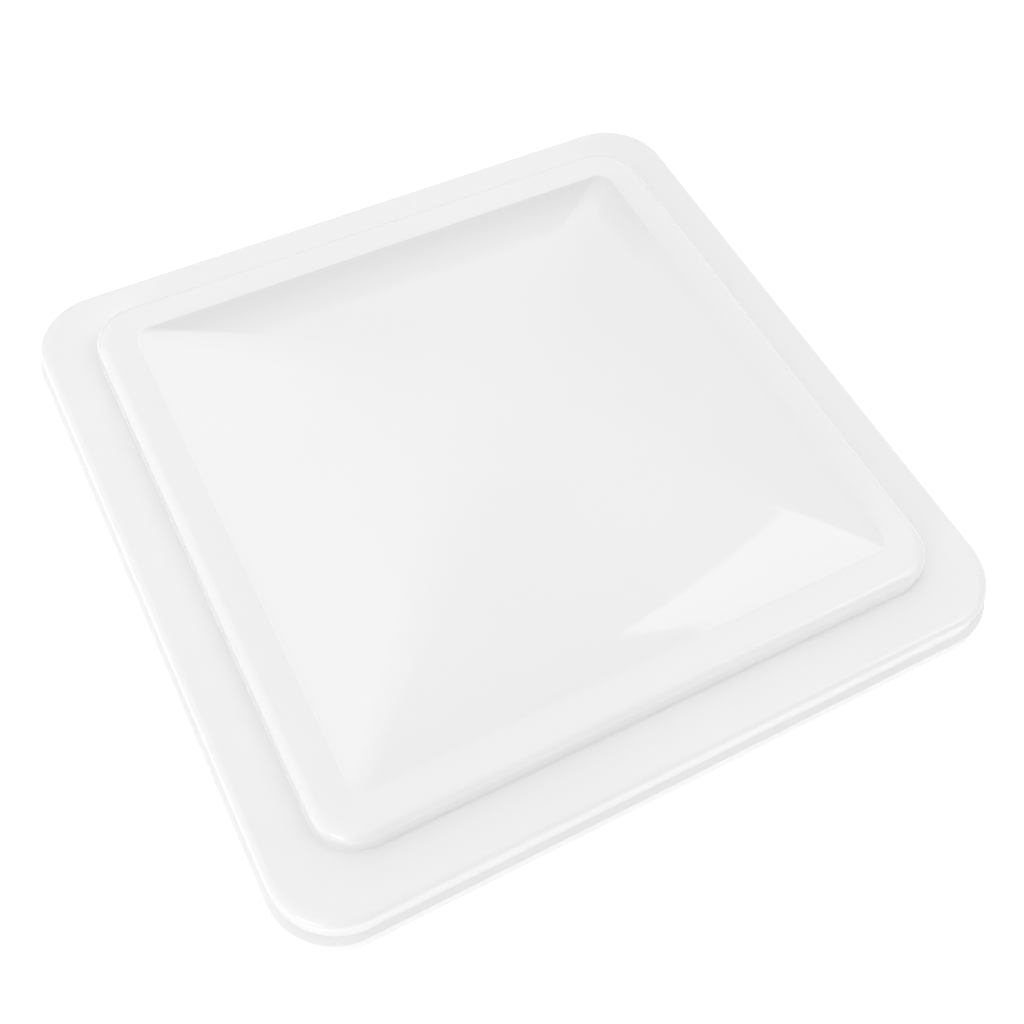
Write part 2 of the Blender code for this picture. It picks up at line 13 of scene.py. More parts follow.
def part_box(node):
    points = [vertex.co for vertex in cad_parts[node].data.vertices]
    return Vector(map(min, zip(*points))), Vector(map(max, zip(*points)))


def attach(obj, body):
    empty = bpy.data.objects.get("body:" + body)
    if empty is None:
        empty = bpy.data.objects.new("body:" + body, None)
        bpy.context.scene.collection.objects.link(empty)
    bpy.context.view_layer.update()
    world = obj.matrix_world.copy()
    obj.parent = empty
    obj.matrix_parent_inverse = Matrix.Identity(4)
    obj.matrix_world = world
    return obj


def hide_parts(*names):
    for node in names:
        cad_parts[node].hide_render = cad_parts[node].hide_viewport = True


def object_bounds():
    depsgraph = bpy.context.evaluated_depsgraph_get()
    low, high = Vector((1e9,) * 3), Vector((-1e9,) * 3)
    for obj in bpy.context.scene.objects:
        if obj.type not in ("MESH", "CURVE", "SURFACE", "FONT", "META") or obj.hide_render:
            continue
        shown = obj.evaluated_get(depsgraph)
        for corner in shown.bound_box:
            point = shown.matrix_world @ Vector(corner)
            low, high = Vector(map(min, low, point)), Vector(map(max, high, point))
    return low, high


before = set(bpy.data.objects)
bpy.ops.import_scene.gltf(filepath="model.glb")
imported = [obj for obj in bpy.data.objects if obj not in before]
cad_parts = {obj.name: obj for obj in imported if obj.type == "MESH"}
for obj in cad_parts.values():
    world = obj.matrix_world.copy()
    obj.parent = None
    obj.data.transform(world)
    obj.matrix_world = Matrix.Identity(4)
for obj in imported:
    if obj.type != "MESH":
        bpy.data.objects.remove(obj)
cad_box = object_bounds()
lid_low, lid_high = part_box("lid_shell")

# Lid: its outer sizes from the frame, and the section between them.
FLANGE_HALF = lid_high.x
CENTRE_Y = lid_low.y + FLANGE_HALF
CROWN_Z = lid_high.z
WALL = 0.0025
DOME_RISE = 0.034
RING_RISE = 0.014
RING_Z = CROWN_Z - DOME_RISE
SHOULDER_Z = RING_Z - RING_RISE
RIM_SETBACK = 0.0025
RIM_HALF = FLANGE_HALF - RIM_SETBACK
RIM_ROUND = 0.0045
STEP_ROUND = 0.006
FOOT_FILLET = 0.0012
LIP_ROUND = 0.001
FLANGE_ROUND = 0.0005
COVE_TOP = 0.0135
COVE_BOTTOM = 0.009
COVE_ROUND = 0.0011
COVE_EASE = 0.0001
STEP_FOOT_HALF = 0.1744
STEP_TOP_HALF = 0.1738
DOME_HALF = 0.1527
CREASE_ROUND = 0.0018

# Plan corners of the lid.
RIM_CORNER = 0.036
STEP_FOOT_CORNER = 0.026
STEP_TOP_CORNER = 0.023
DOME_CORNER = 0.009
CORNER_STEPS = 24
SIDE_STEPS = 12
ARC_STEPS = 8

# Dome: its fall grows as a power of the distance from the centre, and its corners soften inwards.
DOME_POWER = 2.2
CORNER_SOFTENING = 2.2
DOME_LEVELS = 44
DOME_FIRST_SHARE = 0.985

# Ribs, bosses and the hinge pad under the lid.
RIB_THICKNESS = 0.002
RIB_EDGE = 0.0004
LOCATING_RIB_HALF = 0.182
LOCATING_RIB_CORNER = 0.018
LOCATING_RIB_BOTTOM = 0.017
STIFFENER_BOTTOM = 0.0622
STIFFENER_HALF = 0.088
CROSS_RIBS_Y = (-0.040, 0.040)
BOSS_RADIUS = 0.0055
BOSS_BOTTOM = 0.060
BOSS_HOLE_DEPTH = 0.007
PAD_INNER_HALF = 0.1995
PAD_TOP = 0.0175
NOTCH_TOP = 0.0021

# Seal.
SEAL_WIDTH = 0.012
SEAL_CORNER = 0.030
SEAL_EDGE = 0.0011
SEAL_CROWN = 0.0004
SEAL_JOINT_X = 0.06
SEAL_JOINT_GAP = 0.0004

# Hinge.
KNUCKLES = 7
KNUCKLE_GAP = 0.0003
LEAF_THICKNESS = 0.0015
CURL_SLOT = 0.0002
PIN_RADIUS = 0.0015
PIN_HOLE_RADIUS = 0.0016
LEAF_CORNER = 0.0026
BASE_HOLES_X = (-0.105, -0.035, 0.035, 0.105)
BASE_HOLE_REACH = 0.0145
SINK_DEPTH = 0.0012
SINK_WIDENING = 0.0018

# Fasteners.
RIVET_COUNT = 5
RIVET_RADIUS = 0.0018
RIVET_HOLE_RADIUS = 0.0021
RIVET_HEAD_HEIGHT = 0.0012
SCREW_COUNT = 4
SCREW_RADIUS = 0.002
SCREW_HOLE_RADIUS = 0.0023
SCREW_HEAD_HEIGHT = 0.0018
THREAD_ROOT = 0.0015
THREAD_PITCH = 0.0013

# Lift channel and what runs in it.
CHANNEL_SHEET = 0.0015
CHANNEL_BEND = 0.0022
SLOT_HALF_WIDTH = 0.005
STOP_PLATE = 0.002
SHOE_THICKNESS = 0.0042
NECK_HALF_WIDTH = 0.004
LUG_HALF_WIDTH = 0.0038
LUG_HALF_LENGTH = 0.007
LUG_ROUND = 0.0036
PIVOT_HOLE_RADIUS = 0.0021
CLIP_SHEET = 0.0015
CLIP_BEND = 0.0024
ARM_HOLE_DROP = 0.0165

# Camera: its direction from the object and its roll in degrees, and where it looks.
CAMERA_AZIMUTH = -32.77
CAMERA_ELEVATION = 56.58
CAMERA_ROLL = 5.73
CAMERA_AIM = Vector((0.0109, -0.0313, -0.0135))
CAMERA_DISTANCE = 0.7547
CAMERA_LENS = 48.147
CAMERA_SHIFT = (-0.027832, -0.012012)

# Studio. The floor glows a little, and by FLOOR_WHITE more where the camera sees it directly.
# Each window of the room has its left, right, bottom and top edge in degrees, the light it adds
# to the room's, and how soft its edges are, in degrees.
FLOOR_HALF = 0.7
FLOOR_GLOW = 0.29
FLOOR_WHITE = 0.2
ROOM_LEFT = 0.905
ROOM_RIGHT = 0.89
ROOM_FRONT = 0.13
BACK_PANEL = ((-47.0, 61.0, 14.5, 67.0), 0.10, 0.6)
DARK_GAP = ((-40.0, 55.5, -5.0, 14.5), -0.26, 0.6)
GAP_FOOT = ((-40.0, 55.5, -5.0, 8.0), -0.48, 6.0)
SOFTBOX = ((100.0, 142.0, 40.0, 60.0), 1.4, 0.3)
FRONT_DOOR = ((138.0, 190.0, -5.0, 42.0), -0.8, 2.0)
LEFT_DOOR = ((-190.0, -150.0, -5.0, 42.0), -0.8, 6.0)
LEFT_LAMP = ((-134.0, -112.0, 4.0, 20.0), 5.0, 1.5)
STUDIO_WINDOWS = (BACK_PANEL, DARK_GAP, GAP_FOOT, SOFTBOX, FRONT_DOOR, LEFT_DOOR, LEFT_LAMP)

FINE_STEPS = 40
GAP = 0.0003
QUARTERS = ((1, 1), (-1, 1), (-1, -1), (1, -1))
ALONG_X = Matrix(((0, 0, 1, 0), (1, 0, 0, 0), (0, 1, 0, 0), (0, 0, 0, 1)))
ALONG_Y = Matrix.Rotation(math.pi / 2, 4, 'X')
ALONG_Z = Matrix.Identity(4)
OUTSIDE, INSIDE = 0, 1


# Mesh helpers.

def new_object(name, mesh):
    item = bpy.data.objects.new(name, mesh)
    bpy.context.scene.collection.objects.link(item)
    return item


def built(name, build, place=None, recalculate=True):
    """A mesh object from a function that fills a bmesh, its place applied to the mesh."""
    shape = bmesh.new()
    build(shape)
    if recalculate:
        bmesh.ops.recalc_face_normals(shape, faces=shape.faces)
    mesh = bpy.data.meshes.new(name)
    shape.to_mesh(mesh)
    shape.free()
    if place:
        mesh.transform(place)
    return new_object(name, mesh)


def arc(centre, radius, start, end, steps):
    """Points of an arc, angles in degrees."""
    found = []
    for step in range(steps + 1):
        angle = math.radians(start + (end - start) * step / steps)
        found.append((centre[0] + radius * math.cos(angle), centre[1] + radius * math.sin(angle)))
    return found


def between(first, last, steps):
    """The points strictly between two points."""
    return [tuple(a + (b - a) * step / steps for a, b in zip(first, last))
            for step in range(1, steps)]


def box(name, low, high):
    size = Vector(high) - Vector(low)
    middle = (Vector(high) + Vector(low)) / 2

    def build(shape):
        bmesh.ops.create_cube(shape, size=1.0, matrix=Matrix.Diagonal((*size, 1.0)))
    return built(name, build, Matrix.Translation(middle))


def prism(name, outline, length, place):
    """One closed outline drawn in X and Y, extruded along Z about its middle."""
    def build(shape):
        rows = []
        for height in (-length / 2, length / 2):
            rows.append([shape.verts.new((across, up, height)) for across, up in outline])
        low, high = rows
        shape.faces.new(low)
        shape.faces.new(high)
        for index in range(len(outline)):
            after = (index + 1) % len(outline)
            shape.faces.new((low[index], low[after], high[after], high[index]))
    return built(name, build, place)


def turned(name, profile, place, ring=False, steps=FINE_STEPS):
    """A turned solid: a profile of (radius, height) points about its own Z."""
    def build(shape):
        rows = []
        for radius, height in profile:
            if radius == 0.0:
                rows.append([shape.verts.new((0.0, 0.0, height))])
                continue
            rows.append([shape.verts.new((across, along, height))
                         for across, along in arc((0.0, 0.0), radius, 0, 360, steps)[:-1]])
        pairs = list(zip(rows, rows[1:]))
        if ring:
            pairs.append((rows[-1], rows[0]))
        for first, second in pairs:
            for index in range(steps):
                after = (index + 1) % steps
                corners = [first[index % len(first)], first[after % len(first)],
                           second[after % len(second)], second[index % len(second)]]
                shape.faces.new(list(dict.fromkeys(corners)))
    return built(name, build, place)


def rods(name, centres, radius, length, turn):
    def build(shape):
        for centre in centres:
            bmesh.ops.create_cone(shape, cap_ends=True, segments=FINE_STEPS, radius1=radius,
                                  radius2=radius, depth=length,
                                  matrix=Matrix.Translation(centre) @ turn)
    return built(name, build)


def applied(item):
    """Bakes the object's modifiers into its mesh."""
    bpy.context.view_layer.update()
    graph = bpy.context.evaluated_depsgraph_get()
    mesh = bpy.data.meshes.new_from_object(item.evaluated_get(graph))
    item.modifiers.clear()
    item.data = mesh
    return item


def combined(item, tools, operation):
    """Joins tools to a solid, cuts them from it, or keeps what lies in them."""
    for tool in tools:
        step = item.modifiers.new(tool.name, 'BOOLEAN')
        step.operation = operation
        step.object = tool
        step.solver = 'MANIFOLD'
    applied(item)
    for tool in tools:
        bpy.data.objects.remove(tool, do_unlink=True)
    return item


def softened(item, width, segments=2, angle=35.0):
    """Rounds the sharp edges of a solid."""
    step = item.modifiers.new("soften", 'BEVEL')
    step.width = width
    step.segments = segments
    step.limit_method = 'ANGLE'
    step.angle_limit = math.radians(angle)
    return applied(item)


def as_inside(item):
    """Marks a tool's faces as the inner finish of the moulding."""
    item.data.materials.append(None)
    item.data.materials.append(None)
    for face in item.data.polygons:
        face.material_index = INSIDE
    return item


def finished(item, body, materials, nodes, smooth=35.0):
    """Shades a piece, gives it its materials and its body, and hides the CAD nodes it stands for."""
    item.data.materials.clear()
    for look in materials:
        item.data.materials.append(look)
    item.data.shade_smooth()
    item.data.set_sharp_from_angle(angle=math.radians(smooth))
    normals = item.modifiers.new("normals", 'WEIGHTED_NORMAL')
    normals.keep_sharp = True
    applied(item)
    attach(item, body)
    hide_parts(*nodes)
    return item


# Material helpers.

def new_material(name, colour, roughness, metallic=0.0):
    look = bpy.data.materials.new(name)
    look.use_nodes = True
    tree = look.node_tree
    shader = tree.nodes["Principled BSDF"]
    shader.inputs["Base Color"].default_value = (*colour, 1.0)
    shader.inputs["Roughness"].default_value = roughness
    shader.inputs["Metallic"].default_value = metallic
    return look, tree, shader


def add_node(tree, kind, values=None, **settings):
    """A node with its settings; each value is a number or the output socket that feeds it."""
    made = tree.nodes.new(kind)
    for name, value in settings.items():
        setattr(made, name, value)
    for name, value in (values or {}).items():
        if isinstance(value, bpy.types.NodeSocket):
            tree.links.new(value, made.inputs[name])
        else:
            made.inputs[name].default_value = value
    return made


def place_in_metres(tree, stretch=(1.0, 1.0, 1.0), turn=0.0):
    """The object's own coordinates, stretched along its axes."""
    coordinates = tree.nodes.get("coordinates")
    if not coordinates:
        coordinates = add_node(tree, "ShaderNodeTexCoord", name="coordinates")
    mapping = add_node(tree, "ShaderNodeMapping", {"Vector": coordinates.outputs["Object"],
                                                   "Rotation": (0.0, 0.0, turn),
                                                   "Scale": stretch})
    return mapping.outputs["Vector"]


def noise(tree, grains_per_metre, detail=2.0, stretch=(1.0, 1.0, 1.0), turn=0.0):
    made = add_node(tree, "ShaderNodeTexNoise",
                    {"Vector": place_in_metres(tree, stretch, turn), "Scale": grains_per_metre,
                     "Detail": detail, "Roughness": 0.55})
    return made.outputs["Fac"]


def cells(tree, cells_per_metre, output, feature='F1'):
    made = add_node(tree, "ShaderNodeTexVoronoi",
                    {"Vector": place_in_metres(tree), "Scale": cells_per_metre}, feature=feature)
    return made.outputs[output]


def remapped(tree, source, low, high, start=0.3, end=0.7):
    made = add_node(tree, "ShaderNodeMapRange", {"Value": source, "From Min": start,
                                                 "From Max": end, "To Min": low, "To Max": high})
    return made.outputs["Result"]


def ramp(tree, source, first, last, start=0.3, end=0.7):
    made = add_node(tree, "ShaderNodeValToRGB", {"Fac": source})
    made.color_ramp.elements[0].position = start
    made.color_ramp.elements[0].color = (*first, 1.0)
    made.color_ramp.elements[1].position = end
    made.color_ramp.elements[1].color = (*last, 1.0)
    return made.outputs["Color"]


def combine_values(tree, operation, first, second):
    made = add_node(tree, "ShaderNodeMath", operation=operation)
    for socket, value in zip(made.inputs, (first, second)):
        if isinstance(value, bpy.types.NodeSocket):
            tree.links.new(value, socket)
        else:
            socket.default_value = value
    return made.outputs["Value"]


def bumps(tree, shader, *layers):
    """Chained bump layers, each a height source and its depth in metres."""
    normal = None
    for height, depth in layers:
        values = {"Height": height, "Distance": depth, "Strength": 1.0}
        if normal:
            values["Normal"] = normal
        normal = add_node(tree, "ShaderNodeBump", values).outputs["Normal"]
    tree.links.new(normal, shader.inputs["Normal"])


def feed(tree, shader, colour, roughness):
    tree.links.new(colour, shader.inputs["Base Color"])
    tree.links.new(roughness, shader.inputs["Roughness"])


# Materials.

def glossy_white():
    """The lid's polished outer face: faint tone changes, a light orange peel and fine scuffs."""
    look, tree, shader = new_material("white_plastic_gloss", (0.9, 0.9, 0.9), 0.035)
    shader.inputs["IOR"].default_value = 1.49
    tone = ramp(tree, noise(tree, 7.0, 3.0), (0.894, 0.894, 0.896), (0.908, 0.908, 0.908))
    polish = remapped(tree, noise(tree, 45.0, 4.0), 0.008, 0.03)
    scuffs = remapped(tree, noise(tree, 60.0, 3.0, (1.0, 26.0, 1.0), 0.6), 0.0, 0.02, 0.62, 0.72)
    feed(tree, shader, tone, combine_values(tree, 'ADD', polish, scuffs))
    bumps(tree, shader, (noise(tree, 14.0, 1.0), 0.00004), (noise(tree, 420.0, 1.0), 0.000003))
    return look


def satin_white():
    """The moulding's inner face, duller and finely grained."""
    look, tree, shader = new_material("white_plastic_satin", (0.81, 0.81, 0.81), 0.4)
    shader.inputs["IOR"].default_value = 1.49
    tone = ramp(tree, noise(tree, 11.0, 3.0), (0.795, 0.795, 0.798), (0.83, 0.83, 0.83))
    feed(tree, shader, tone, remapped(tree, noise(tree, 90.0, 3.0), 0.34, 0.5))
    bumps(tree, shader, (noise(tree, 30.0, 1.0), 0.00008), (noise(tree, 1800.0, 2.0), 0.00001))
    return look


def foam_rubber():
    """Black closed-cell foam with open cells at its cut faces."""
    look, tree, shader = new_material("seal_foam", (0.035, 0.035, 0.038), 0.88)
    tone = ramp(tree, noise(tree, 260.0, 4.0), (0.018, 0.018, 0.02), (0.05, 0.05, 0.053))
    feed(tree, shader, tone, remapped(tree, noise(tree, 600.0), 0.78, 0.95))
    bumps(tree, shader, (noise(tree, 90.0, 2.0), 0.0002), (cells(tree, 1300.0, "Distance"), 0.0002))
    return look


def brushed_aluminium():
    """Hinge sheet with its rolling lines along the hinge."""
    look, tree, shader = new_material("hinge_aluminium_brushed", (0.72, 0.73, 0.75), 0.35, 1.0)
    shader.inputs["Anisotropic"].default_value = 0.4
    lines = noise(tree, 1.0, 4.0, (14.0, 1500.0, 1500.0))
    tone = ramp(tree, lines, (0.66, 0.67, 0.69), (0.79, 0.795, 0.81))
    smears = remapped(tree, noise(tree, 55.0, 3.0), -0.03, 0.06)
    feed(tree, shader, tone, combine_values(tree, 'ADD', remapped(tree, lines, 0.27, 0.42), smears))
    bumps(tree, shader, (lines, 0.000012), (noise(tree, 140.0, 2.0), 0.00002))
    return look


def plated_steel():
    """Bright zinc with the blue and straw tints of its passivation."""
    look, tree, shader = new_material("fastener_zinc", (0.62, 0.63, 0.65), 0.28, 1.0)
    tone = ramp(tree, noise(tree, 210.0, 3.0), (0.56, 0.59, 0.65), (0.70, 0.68, 0.62))
    feed(tree, shader, tone, remapped(tree, noise(tree, 700.0, 4.0), 0.2, 0.38))
    bumps(tree, shader, (noise(tree, 900.0, 3.0), 0.000006))
    return look


def spangled_steel():
    """Galvanised sheet: zinc crystals of a few millimetres, each with its own grey and gloss."""
    look, tree, shader = new_material("channel_galvanised", (0.55, 0.57, 0.60), 0.42, 1.0)
    grain = add_node(tree, "ShaderNodeSeparateColor", {"Color": cells(tree, 190.0, "Color")})
    crystal = grain.outputs["Red"]
    streaks = remapped(tree, noise(tree, 1400.0, 2.0), -0.04, 0.04)
    tone = ramp(tree, crystal, (0.46, 0.48, 0.51), (0.64, 0.66, 0.68), 0.1, 0.9)
    rough = combine_values(tree, 'ADD', remapped(tree, crystal, 0.33, 0.52, 0.0, 1.0), streaks)
    feed(tree, shader, tone, rough)
    edges = cells(tree, 190.0, "Distance", 'DISTANCE_TO_EDGE')
    bumps(tree, shader, (remapped(tree, edges, 0.0, 1.0, 0.0, 0.08), 0.00001),
          (noise(tree, 800.0, 3.0), 0.000008))
    return look


def worn_nylon():
    """Natural nylon, slightly mottled, with the drag marks of a sliding piece."""
    look, tree, shader = new_material("slider_nylon_moulded", (0.80, 0.79, 0.74), 0.45)
    shader.inputs["IOR"].default_value = 1.53
    shader.inputs["Subsurface Weight"].default_value = 0.15
    shader.inputs["Subsurface Radius"].default_value = (0.002, 0.0017, 0.0013)
    shader.inputs["Subsurface Scale"].default_value = 1.0
    drag = noise(tree, 1.0, 3.0, (1300.0, 60.0, 1300.0))
    tone = ramp(tree, noise(tree, 170.0, 3.0), (0.73, 0.715, 0.65), (0.81, 0.80, 0.75))
    feed(tree, shader, tone, remapped(tree, drag, 0.36, 0.56))
    bumps(tree, shader, (drag, 0.000015), (noise(tree, 1200.0, 2.0), 0.00001))
    return look


# The lid.

def rounded_square(half, corner, height):
    """One level: a square with rounded corners, counterclockwise from above."""
    inset = half - corner
    points = []
    for quarter, (side_x, side_y) in enumerate(QUARTERS):
        turn = arc((side_x * inset, side_y * inset), corner, 90 * quarter, 90 * quarter + 90,
                   CORNER_STEPS)
        next_x, next_y = QUARTERS[(quarter + 1) % 4]
        ahead = arc((next_x * inset, next_y * inset), corner, 90 * quarter + 90, 90 * quarter + 90, 1)
        points += turn + between(turn[-1], ahead[0], SIDE_STEPS)
    return [(across, along + CENTRE_Y, height) for across, along in points]


def skin(shape, levels, close_loop=False, close_start=False, close_end=False):
    """Faces between successive levels, which have the same number of points."""
    rows = [[shape.verts.new(point) for point in level] for level in levels]
    pairs = list(zip(rows, rows[1:]))
    if close_loop:
        pairs.append((rows[-1], rows[0]))
    for lower, upper in pairs:
        for index in range(len(lower)):
            after = (index + 1) % len(lower)
            shape.faces.new((lower[index], lower[after], upper[after], upper[index]))
    if close_start:
        close_row(shape, rows[0][::-1])
    if close_end:
        close_row(shape, rows[-1])
    return rows


def close_row(shape, row):
    """A fan from the middle of a small closed row."""
    middle = sum((point.co for point in row), Vector()) / len(row)
    centre = shape.verts.new(middle)
    for index, point in enumerate(row):
        shape.faces.new((point, row[(index + 1) % len(row)], centre))


def dome_height(reach):
    """Height of the dome's outer face at this distance from the lid's centre, along X or Y."""
    return RING_Z + DOME_RISE * (1 - (abs(reach) / DOME_HALF) ** DOME_POWER)


def dome_corner(level):
    """Plan corner radius of the dome where it has shrunk to this share of its base."""
    edge_share = DOME_CORNER / DOME_HALF
    return DOME_HALF * level * (edge_share + (1 - edge_share) * (1 - level) ** CORNER_SOFTENING)


def skirt_section(with_cove):
    """Half-width, height and plan corner of the skirt's face, from its lip to the shoulder."""
    section = [(FLANGE_HALF, LIP_ROUND + FLANGE_ROUND),
               (FLANGE_HALF, COVE_BOTTOM - 2 * COVE_EASE)]
    if with_cove:
        section += arc((FLANGE_HALF - FLANGE_ROUND, COVE_BOTTOM - COVE_EASE), FLANGE_ROUND, 10, 65, 4)
        section += arc((RIM_HALF - COVE_EASE, COVE_TOP - COVE_ROUND - COVE_EASE), COVE_ROUND,
                       250, 120, ARC_STEPS)
    section.append((RIM_HALF, COVE_TOP + 2 * COVE_EASE))
    section += arc((RIM_HALF - RIM_ROUND, SHOULDER_Z - RIM_ROUND), RIM_ROUND, 0, 90, ARC_STEPS)
    return [(half, height, RIM_CORNER) for half, height in section]


def step_section():
    """The same for the step, from the shoulder up to the ring."""
    apron, apron_corner = 0.006, 0.002
    section = [(STEP_FOOT_HALF + apron, SHOULDER_Z, STEP_FOOT_CORNER + apron_corner)]
    for half, height in arc((STEP_FOOT_HALF + FOOT_FILLET, SHOULDER_Z + FOOT_FILLET),
                            FOOT_FILLET, 270, 185, 5):
        section.append((half, height, STEP_FOOT_CORNER))
    for half, height in arc((STEP_TOP_HALF - STEP_ROUND, RING_Z - STEP_ROUND),
                            STEP_ROUND, 5, 90, ARC_STEPS):
        section.append((half, height, STEP_TOP_CORNER))
    return section


def dome_section():
    """The same for the dome, from a fillet at its foot up to a small ring at the crown."""
    slope = math.atan(DOME_RISE * DOME_POWER / DOME_HALF)
    centre = DOME_HALF + CREASE_ROUND * math.tan(slope / 2)
    apron, apron_corner = 0.005, 0.004
    section = [(DOME_HALF + apron, RING_Z, DOME_CORNER + apron_corner)]
    for half, height in arc((centre, RING_Z + CREASE_ROUND), CREASE_ROUND, 270,
                            270 - math.degrees(slope), 4):
        section.append((half, height, DOME_CORNER + max(0.0, half - DOME_HALF)))
    for step in range(1, DOME_LEVELS):
        level = DOME_FIRST_SHARE * (1 - step / DOME_LEVELS)
        section.append((DOME_HALF * level, dome_height(DOME_HALF * level), dome_corner(level)))
    return section


def offset_inwards(section, distance):
    """The section of the inner face: each point moved in along the outer face's normal."""
    inner = []
    for index, (half, height, corner) in enumerate(section):
        before = section[max(index - 1, 0)]
        after = section[min(index + 1, len(section) - 1)]
        first = Vector((half - before[0], height - before[1]))
        second = Vector((after[0] - half, after[1] - height))
        along = first.normalized() + second.normalized()
        along.normalize()
        out, up = along.y, -along.x
        inner.append((half - distance * out, height - distance * up,
                      max(corner - distance * out, 0.001)))
    return inner


def lid_levels():
    """All levels of the lid's skin: the inner face down to the lip, then the outer face up."""
    above = step_section() + dome_section()
    outer = skirt_section(True) + above
    inner = offset_inwards(skirt_section(False) + above, WALL)
    outer_lip = [(half, height, RIM_CORNER) for half, height in
                 arc((FLANGE_HALF - LIP_ROUND, LIP_ROUND), LIP_ROUND, 270, 360, 3)]
    inner_lip = [(half, height, RIM_CORNER - WALL) for half, height in
                 arc((FLANGE_HALF - WALL + LIP_ROUND, LIP_ROUND), LIP_ROUND, 180, 270, 3)]
    section = inner[::-1] + inner_lip + outer_lip + outer
    return [rounded_square(half, corner, height) for half, height, corner in section], len(inner)


def lid_skin():
    levels, inner_count = lid_levels()

    def build(shape):
        skin(shape, levels, close_start=True, close_end=True)
    item = built("lid_moulding", build, recalculate=False)
    item.data.materials.append(None)
    item.data.materials.append(None)
    inner_faces = (inner_count - 1) * len(levels[0])
    for index, face in enumerate(item.data.polygons):
        face.material_index = INSIDE if index < inner_faces else OUTSIDE
    return item


def ring_wall(name, outer_half, inner_half, corner, low, high):
    """A closed wall that follows a rounded square, its free edge rounded."""
    middle = (outer_half + inner_half) / 2
    radius = (outer_half - inner_half) / 2
    section = [(inner_half, high)] + arc((middle, low + radius), radius, 180, 360, 8)
    section.append((outer_half, high))
    levels = [rounded_square(half, corner - (outer_half - half), height) for half, height in section]

    def build(shape):
        skin(shape, levels, close_loop=True)
    return built(name, build)


def stiffener(name, across_x, offset_y):
    """A rib under the dome, its top buried in the wall and its bottom edge straight."""
    steps = 28
    top = []
    for step in range(steps + 1):
        reach = STIFFENER_HALF * (1 - 2 * step / steps)
        top.append((reach, dome_height(max(abs(reach), abs(offset_y))) - WALL / 2))
    outline = [(-STIFFENER_HALF, STIFFENER_BOTTOM), (STIFFENER_HALF, STIFFENER_BOTTOM)] + top
    turn = Matrix.Identity(4) if across_x else Matrix.Rotation(math.pi / 2, 4, 'Z')
    place = Matrix.Translation((0.0, CENTRE_Y + offset_y, 0.0)) @ turn @ ALONG_Y
    return softened(prism(name, outline, RIB_THICKNESS, place), RIB_EDGE)


def boss_places():
    """Where the channel's screws stand, from their CAD boxes."""
    places = []
    for number in range(1, SCREW_COUNT + 1):
        low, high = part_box(f"channel_screw_{number}")
        places.append(((low.x + high.x) / 2, (low.y + high.y) / 2))
    return places


def boss(name, across, along):
    top = dome_height(along - CENTRE_Y) - WALL / 2
    profile = [(0.0, BOSS_BOTTOM), (BOSS_RADIUS - 0.0004, BOSS_BOTTOM),
               (BOSS_RADIUS, BOSS_BOTTOM + 0.0004), (BOSS_RADIUS + 0.0003, top), (0.0, top)]
    return turned(name, profile, Matrix.Translation((across, along, 0.0)))


def hinge_frame():
    """Half length and barrel radius of the hinge, and its axis's Y and Z."""
    pin_low, pin_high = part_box("hinge_pin")
    leaf_low, leaf_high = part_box("hinge_base_leaf")
    axis_y, axis_z = (pin_low.y + pin_high.y) / 2, (pin_low.z + pin_high.z) / 2
    return leaf_high.x, axis_z - leaf_low.z, axis_y, axis_z


def rivet_places():
    """X and Z of each rivet."""
    places = []
    for number in range(1, RIVET_COUNT + 1):
        low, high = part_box(f"hinge_rivet_{number}")
        places.append(((low.x + high.x) / 2, (low.z + high.z) / 2))
    return places


def make_lid(gloss, satin):
    lid = lid_skin()
    hinge_half = hinge_frame()[0]
    ribs = [ring_wall("locating_rib", LOCATING_RIB_HALF, LOCATING_RIB_HALF - RIB_THICKNESS,
                      LOCATING_RIB_CORNER, LOCATING_RIB_BOTTOM, SHOULDER_Z - WALL / 2)]
    ribs.append(softened(box("hinge_pad", (-hinge_half, CENTRE_Y + PAD_INNER_HALF, NOTCH_TOP),
                             (hinge_half, lid_high.y, PAD_TOP)), RIB_EDGE))
    ribs.append(stiffener("long_stiffener", False, 0.0))
    for number, offset in enumerate(CROSS_RIBS_Y, 1):
        ribs.append(stiffener(f"cross_stiffener_{number}", True, offset))
    for number, (across, along) in enumerate(boss_places(), 1):
        ribs.append(boss(f"boss_{number}", across, along))
    combined(lid, [as_inside(rib) for rib in ribs], 'UNION')

    screw_holes = [(across, along, BOSS_BOTTOM) for across, along in boss_places()]
    rivet_holes = [(across, lid_high.y, up) for across, up in rivet_places()]
    notch_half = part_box("hinge_pin")[1].x + GAP
    clear = 0.003
    cutters = [rods("boss_holes", screw_holes, SCREW_HOLE_RADIUS, 2 * BOSS_HOLE_DEPTH, ALONG_Z),
               rods("rivet_holes", rivet_holes, RIVET_HOLE_RADIUS, 10 * clear, ALONG_Y),
               box("hinge_notch", (-notch_half, CENTRE_Y + PAD_INNER_HALF - clear, -clear),
                   (notch_half, lid_high.y + clear, NOTCH_TOP))]
    combined(lid, [as_inside(cutter) for cutter in cutters], 'DIFFERENCE')
    return finished(lid, "lid", [gloss, satin], ["lid_shell"], 30.0)


